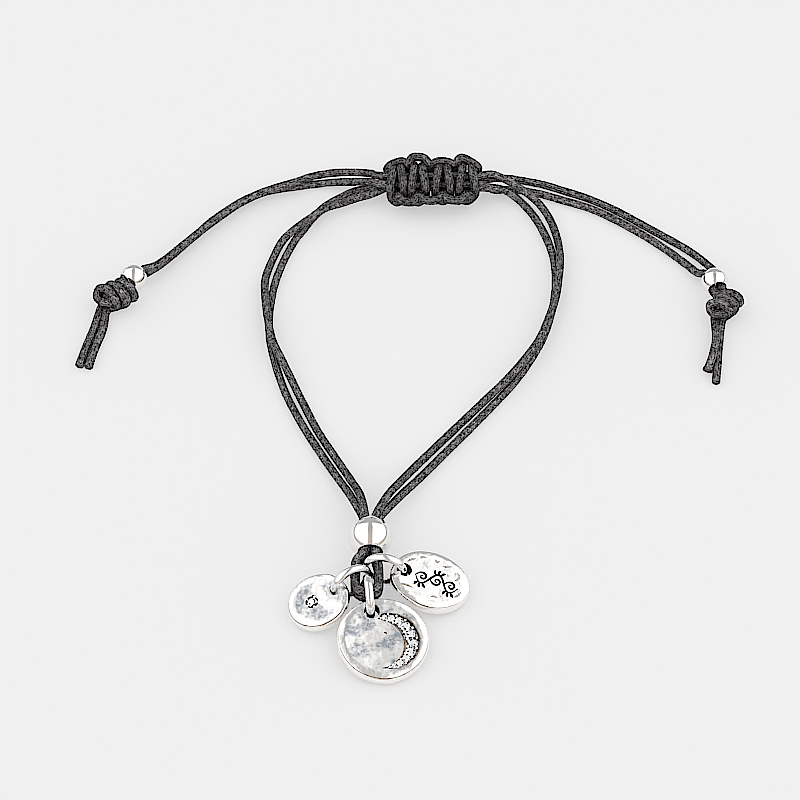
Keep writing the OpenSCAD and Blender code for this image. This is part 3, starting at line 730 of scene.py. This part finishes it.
def cut_out(bm, cutters):
    """Cuts each cutter out of the bmesh; a blackened cutter leaves black walls"""
    blank = bpy.data.objects.new("blank", bpy.data.meshes.new("blank"))
    bm.to_mesh(blank.data)
    bpy.context.collection.objects.link(blank)
    tools = []
    for cutter, black in cutters:
        tool = bpy.data.objects.new("cutter", bpy.data.meshes.new("cutter"))
        for face in cutter.faces:
            face.material_index = int(black and abs(face.normal.z) < 0.9)
        cutter.to_mesh(tool.data)
        cutter.free()
        bpy.context.collection.objects.link(tool)
        tools.append(tool)
        cut = blank.modifiers.new("cut", "BOOLEAN")
        cut.operation = "DIFFERENCE"
        cut.solver = "EXACT"
        cut.object = tool
    bpy.context.view_layer.update()
    carved = blank.evaluated_get(bpy.context.evaluated_depsgraph_get()).to_mesh()
    bm.clear()
    bm.from_mesh(carved)
    for used in (blank, *tools):
        mesh = used.data
        bpy.data.objects.remove(used)
        bpy.data.meshes.remove(mesh)


def drill(x, y, radius, low, high, segments=48):
    """A straight round cutter from one height to another"""
    bm = bmesh.new()
    bmesh.ops.create_cone(bm, cap_ends=True, segments=segments, radius1=radius, radius2=radius,
                          depth=high - low, matrix=Matrix.Translation((x, y, (low + high) / 2)))
    return bm


def add_ball(bm, x, y, z, radius, stretch=(1, 1, 1), turn=0):
    """One claw or grain of silver on a charm"""
    pose = (Matrix.Translation((x, y, z)) @ Matrix.Rotation(turn, 4, "Z")
            @ Matrix.Diagonal((*stretch, 1)))
    bmesh.ops.create_uvsphere(bm, u_segments=16, v_segments=10, radius=radius, matrix=pose)


def punch(x, y, z, radius, stretch, turn):
    """A rounded cutter that leaves a little pit"""
    bm = bmesh.new()
    add_ball(bm, x, y, z, radius, stretch, turn)
    return bm


def draw_line(bm, tree, points, thickness, black=False, sink=0.35, dark=1):
    """A line on a charm's face, sunk by a share of its thickness and thin at both ends"""
    depth = bm.verts.layers.float["inset"]
    dull = bm.verts.layers.float["dull"]
    stroke = []
    for p in smooth_route([(x, y, 0) for x, y in points], 0):
        hit = tree.ray_cast(Vector((p.x / mm, p.y / mm, over_charm)), Vector((0, 0, -1)))[0]
        stroke.append(hit + Vector((0, 0, thickness * (0.5 - sink))))
    last = len(stroke) - 1

    # Unless black, the line carries the painted edge shade, with the strength dark.
    def taper(vert, turn, i):
        vert[depth] = rim_line
        vert[dull] = dark
        full = min(1, 3 * i / last, 3 * (last - i) / last)
        return thickness / 2 * (line_tip + (1 - line_tip) * full)

    verts = roll_tube(bm, stroke, line_sides, taper)
    faces = {face for vert in verts for face in vert.link_faces}
    bmesh.ops.remove_doubles(bm, verts=verts, dist=1e-5)
    for face in faces:
        if face.is_valid:
            face.material_index = int(black)


def finish_charm(bm, name, pose):
    """Closes the charm's lines and leans it on the table as one piece"""
    bmesh.ops.holes_fill(bm, edges=[e for e in bm.edges if e.is_boundary], sides=0)
    bmesh.ops.recalc_face_normals(bm, faces=bm.faces)
    bmesh.ops.transform(bm, matrix=Matrix.Scale(mm, 4) @ pose, verts=bm.verts)
    for face in bm.faces:
        face.smooth = True
    piece = settle(bm, "cast_" + name, [name], [cast_silver, black_oxide_and_shade])
    piece.data.set_sharp_from_angle(angle=sharp_edge)


# The small left charm holds one stone in a hole that four claws close, beside
# two little pits.
left_half = (5.6, 5.3)
left_thickness = 2.2
left_reach = 3.4
left_hole_radius = 1.15
left_pose = charm_pose(-13.75, -43.4, 30, left_reach, left_half[0], left_thickness)
left_face = left_thickness - dish_depth
left_stone_at = (-1.05, 0.45)
left_seat_radius = 1.14
left_seat_depth = 0.6
left_pits = ((-1.35, 1.42, 2.9), (-0.15, 1.2, 2.2))
pit_height = left_face + 0.1
pit_radius = 0.36
pit_stretch = (1.2, 0.7, 0.8)
claw_turns = (0.6, 2, 3.3, 4.6)
claw_reach = 1.1
claw_height = left_face + 0.12
claw_radius = 0.28
bm = cast_disc(left_half, left_thickness, dish_depth, seed=1.7, age=0.85, line_shade_side=240)
left_seat = drill(*left_stone_at, left_seat_radius, left_face - left_seat_depth, over_charm)
cut_out(bm, [(drill(left_reach, 0, left_hole_radius, under_charm, over_charm), False),
             (left_seat, True),
             *((punch(x, y, pit_height, pit_radius, pit_stretch, turn), True)
               for x, y, turn in left_pits)])
for turn in claw_turns:
    add_ball(bm, left_stone_at[0] + claw_reach * math.cos(turn),
             left_stone_at[1] + claw_reach * math.sin(turn), claw_height, claw_radius)
finish_charm(bm, "charm_left", left_pose)

# The round centre charm has a crescent pocket for its ten stones, with a thin line of painted
# shade along both edges and a little pair of grains between every two stones.
centre_half = (8, 8)
centre_thickness = 2.3
centre_reach = 5.6
centre_pose = charm_pose(-7.5, -48.1, 111, centre_reach, centre_half[0], centre_thickness)
centre_face = centre_thickness - dish_depth
moon_outer = (-0.7, -0.65, 5.4)
moon_inner = (-0.53, 1.33, 4.83)
moon_count = 10
moon_largest = 1.65
moon_mid = (-0.65, 0.02, 4.84)
moon_first = 173.5
moon_depth = 0.3
moon_sides = 128
moon_edge_arcs = ((moon_outer, 0.1, 152, 348), (moon_inner, -0.1, 172, 344))
moon_edge_width = 0.26
moon_edge_sink = 0.7
moon_edge_steps = 40
stone_gap = 0.13
hole_wall = 0.3
grain_reach = 0.52
grain_radius = 0.14
grain_growth = 0.1
grain_height = centre_face + 0.1
tip_grain_height = centre_face + 0.05
tip_grains = ((170.5, 0.05, 0.28), (166.5, 0.18, 0.23), (163, 0.3, 0.18), (159.8, 0.38, 0.14),
              (342, -0.05, 0.32), (347.5, -0.1, 0.25))
bm = cast_disc(centre_half, centre_thickness, dish_depth, seed=4.2, age=1, line_shade_side=159)
moon = drill(*moon_outer, centre_face - moon_depth, over_charm, moon_sides)
cut_out(moon, [(drill(*moon_inner, 0, over_charm + 1, moon_sides), False),
               (drill(centre_reach, 0, charm_hole_radius + hole_wall, 0, over_charm + 1), False)])
# The centre hole's black walls are painted shade; the crescent pocket and the pit keep black
# oxide.
cut_out(bm, [(drill(centre_reach, 0, charm_hole_radius, under_charm, over_charm), True),
             (moon, True),
             (punch(1.03, -0.79, centre_face + 0.18, 0.3, (1, 0.6, 1), 0.6), True)])


def moon_size(i):
    """The room of stone i in the crescent, most in the middle and least at the tips"""
    share = abs(i - 0.5 - moon_count / 2) / (moon_count / 2)
    return moon_largest * (0.5 + 0.5 * (1 - share ** 1.6))


def moon_place(angle, off=0):
    """A place on the crescent's middle line, or off it"""
    return (moon_mid[0] + (moon_mid[2] + off) * math.cos(angle),
            moon_mid[1] + (moon_mid[2] + off) * math.sin(angle))


tree = BVHTree.FromBMesh(bm)
# Painted shade along the crescent's edges.
for (x, y, radius), off, first, last in moon_edge_arcs:
    turns = [math.radians(first + (last - first) * k / moon_edge_steps)
             for k in range(moon_edge_steps + 1)]
    arc = [(x + (radius + off) * math.cos(turn), y + (radius + off) * math.sin(turn))
           for turn in turns]
    draw_line(bm, tree, arc, moon_edge_width, sink=moon_edge_sink)
gone = 0
moon_stones = []
for i in range(1, moon_count + 1):
    size = moon_size(i)
    angle = math.radians(moon_first) + (gone + size / 2) / moon_mid[2]
    moon_stones.append((angle, size))
    gone += size + stone_gap
    if i < moon_count:
        between = math.radians(moon_first) + (gone - stone_gap / 2) / moon_mid[2]
        for side in (-1, 1):
            add_ball(bm, *moon_place(between, side * grain_reach * size), grain_height,
                     grain_radius + grain_growth * size)
for angle, off, radius in tip_grains:
    add_ball(bm, *moon_place(math.radians(angle), off), tip_grain_height, radius)
finish_charm(bm, "charm_centre", centre_pose)

# The oval right charm is creased like foil and carries a traditional scroll of
# blackened lines: a waved stem with a curl on alternate sides.
right_half = (7.1, 5.95)
right_thickness = 2.4
right_reach = 4.9
right_pose = charm_pose(-2.05, -39.25, 163, right_reach, right_half[0], right_thickness)
scroll_width = 0.33
scroll_start = 2.8
scroll_bend = 2.6
stem_swing = 1.45
stem_steps = 6
curl_sides = (1, -1, 1)
curl_radius = 0.85
curl_root = 0.4
curl_turn = math.radians(38)
curl_steps = 14
leaf_width = 0.42
leaf_bow = 0.15
leaves = (((0.5, 1.3), (0.9, 2.2)), ((0.1, 1.45), (-0.1, 2.4)), ((-0.4, 1.35), (-1, 2.1)))
crease_width = 0.4
crease_sink = 0.62
crease_dark = 0.5
creases = (((5, -1.7), (4.3, -2.6), (3.6, -3.1)), ((3.1, -3.4), (2.5, -3.9), (2, -3.9)),
           ((-1.1, -3.4), (-1.9, -3.6), (-2.8, -4)),
           ((-3.8, -3.1), (-4.5, -2.6), (-4.4, -1.8), (-3.8, -1.2)),
           ((4.9, 3.2), (3.6, 2.9), (2.3, 3)), ((3.6, 4.8), (3.2, 4.2), (2.6, 4.1)),
           ((-1, 3.6), (-1.6, 3.2), (-2.4, 3.3)), ((-4.8, 2.1), (-5.4, 1.4), (-5.7, 0.4)),
           ((0.6, -4.2), (0, -3.9), (-0.4, -4.3)))
bm = cast_disc(right_half, right_thickness, dish_depth / 3, seed=7.9, age=0.22, line_shade_side=70)
# The hole's black walls are painted shade.
cut_out(bm, [(drill(right_reach, 0, charm_hole_radius, under_charm, over_charm), True)])
tree = BVHTree.FromBMesh(bm)
stem = [(scroll_start - scroll_bend * k / stem_steps,
         stem_swing * math.sin(math.pi * k / stem_steps))
        for k in range(len(curl_sides) * stem_steps + 1)]
draw_line(bm, tree, stem, scroll_width, black=True)
for bend, side in enumerate(curl_sides):
    x = scroll_start - scroll_bend * (bend + 0.5)
    curl = []
    for k in range(curl_steps):
        angle = -side * curl_turn * k
        reach = curl_radius * (1 - k / (curl_steps + 1)) + curl_root * math.exp(-k)
        curl.append((x + reach * math.cos(angle), reach * math.sin(angle)))
    draw_line(bm, tree, curl, scroll_width, black=True)
    for root, tip in leaves:
        middle = (x + (root[0] + tip[0]) / 2 + leaf_bow, side * (root[1] + tip[1]) / 2)
        draw_line(bm, tree, [(x + root[0], side * root[1]), middle, (x + tip[0], side * tip[1])],
                  leaf_width, black=True)
# The creases are raised lines with painted shade along them.
for crease in creases:
    draw_line(bm, tree, crease, crease_width, sink=crease_sink, dark=crease_dark)
finish_charm(bm, "charm_right", right_pose)

# Stones
# Clear cut stones, foiled behind, with a flat table and small flat facets: one in the left charm
# and a row of ten that shrinks towards the crescent's tips. Their sparkle is painted: each facet
# carries a dark, grey or white painted reflection, and the table a white one.
cut_rings = ((8, 0.5, 0.3, 0), (8, 0.78, 0.22, 0.5), (16, 1, 0.05, 0.25), (16, 1, -0.05, 0.25),
             (8, 0.45, -0.3, 0.5), (1, 0, -0.34, 0))
left_stone_size = 1.8
moon_stone_share = 1.08
moon_stone_stretch = 1.14
moon_stone_height = centre_face + 0.05
facet_scale = 7
stone_shift = 9
painted_facet_reflections = [(0.08, (0.02, 0.02, 0.025)), (0.2, (0.45, 0.46, 0.48)),
               (0.36, (0.98, 0.98, 0.985))]
cut_crystal, shader, place = new_finish("cut_crystal")
# The stones' colour is the painted reflection of each facet.
facet = place.grow("ShaderNodeAttribute", {"attribute_name": "facet"}, {}, output=2)
painted_shine = facet.grow("ShaderNodeValToRGB", {"stops": painted_facet_reflections}, {"Fac": facet})
painted_shine.feed(shader, "Base Color")
shader.inputs["Metallic"].default_value = 0.35
shader.inputs["Roughness"].default_value = 0.05


def cut_stone(diameter, place_in):
    """A brilliant: its corners wrapped in one tight skin of flat facets"""
    bm = bmesh.new()
    for count, share, height, shift in cut_rings:
        reach = share * diameter / 2
        for k in range(count):
            angle = 2 * math.pi * (k + shift) / count
            bm.verts.new((reach * math.cos(angle), reach * math.sin(angle), height))
    bmesh.ops.convex_hull(bm, input=bm.verts)
    bmesh.ops.dissolve_limit(bm, angle_limit=math.radians(1), verts=bm.verts, edges=bm.edges)
    # Each facet gets a painted reflection, dark, grey or white at random, and the flat table a
    # white one.
    facet = bm.faces.layers.float.new("facet")
    for face in bm.faces:
        shade = noise.cell(face.calc_center_median() * facet_scale
                           + Vector((diameter * stone_shift, 0, 0)))
        face[facet] = max(abs(shade), face.normal.z > 0.99)
    bmesh.ops.transform(bm, matrix=Matrix.Scale(mm, 4) @ place_in, verts=bm.verts)
    return bm


seats = [("left_stone", left_stone_size,
          left_pose @ Matrix.Translation((*left_stone_at, left_face)))]
for i, (angle, size) in enumerate(moon_stones, 1):
    seats.append((f"moon_stone_{i}", moon_stone_share * size, centre_pose
                  @ Matrix.Translation((*moon_place(angle), moon_stone_height))
                  @ Matrix.Rotation(angle, 4, "Z")
                  @ Matrix.Scale(moon_stone_stretch, 4, (1, 0, 0))
                  @ Matrix.Rotation(i, 4, "Z")))
for name, size, seat in seats:
    settle(cut_stone(size, seat), "cut_" + name, [name], [cut_crystal])

# Table and light
# A pale table between two large white screens, which leave a narrow grey gap
# in front, and a grey wall behind.
table_half = 3
table_grey = (0.455, 0.456, 0.457, 1)
table_glow = (0.982, 0.984, 1, 1)
table_glow_strength = 0.44
screen_light = (1.15, 1.15, 1.15)
wall_light = (0.5, 0.505, 0.51)
gap_light = (0.62, 0.56, 0.51)
table_material = bpy.data.materials.new("table")
table_material.use_nodes = True
table_shader = table_material.node_tree.nodes["Principled BSDF"]
table_shader.inputs["Base Color"].default_value = table_grey
# The table glows a little, though it is no lamp, so that shadows on it stay faint.
table_shader.inputs["Emission Color"].default_value = table_glow
table_shader.inputs["Emission Strength"].default_value = table_glow_strength
table_shader.inputs["Roughness"].default_value = 0.9
table_shader.inputs["Specular IOR Level"].default_value = 0
bm = bmesh.new()
bmesh.ops.create_grid(bm, x_segments=1, y_segments=1, size=table_half)
table_mesh = bpy.data.meshes.new("table")
bm.to_mesh(table_mesh)
bm.free()
table_mesh.materials.append(table_material)
table = bpy.data.objects.new("table", table_mesh)
bpy.context.collection.objects.link(table)

world = bpy.data.worlds.new("room")
world.use_nodes = True
nodes = world.node_tree.nodes
heading = Tone(nodes.new("ShaderNodeTexCoord").outputs["Generated"])
x, y, z = (heading.grow("ShaderNodeSeparateXYZ", {}, {"Vector": heading}, output=i)
           for i in range(3))
front = (y * -1).step(-0.3, 0.6)
spread = (1 - z.step(0.1, 0.5)) * 0.16 - y.step(0.3, 0.6) * 0.05
gap = 1 - (x.sum("ABSOLUTE") - spread).step(0.14, 0.24)
skirting = 1 - (z - front * 0.12).step(0.05, 0.16)
behind = y.step(0.68, 0.78) * z.step(0.1, 0.2)
shade = gap.sum("MAXIMUM", skirting).sum("MAXIMUM", behind)
shade.mix(screen_light, front.mix(wall_light, gap_light)).feed(nodes["Background"], "Color")
bpy.context.scene.world = world
bpy.context.scene.view_settings.view_transform = "Standard"

# The picture is sharpened a little, so that the dark cords stand crisp on the table.
sharpening = 0.25
bpy.context.scene.use_nodes = True
darkroom = bpy.context.scene.node_tree
darkroom.nodes.clear()
taken = darkroom.nodes.new("CompositorNodeRLayers")
sharp = darkroom.nodes.new("CompositorNodeFilter")
sharp.filter_type = "SHARPEN"
sharp.inputs["Fac"].default_value = sharpening
shown = darkroom.nodes.new("CompositorNodeComposite")
darkroom.links.new(taken.outputs["Image"], sharp.inputs["Image"])
darkroom.links.new(sharp.outputs["Image"], shown.inputs["Image"])
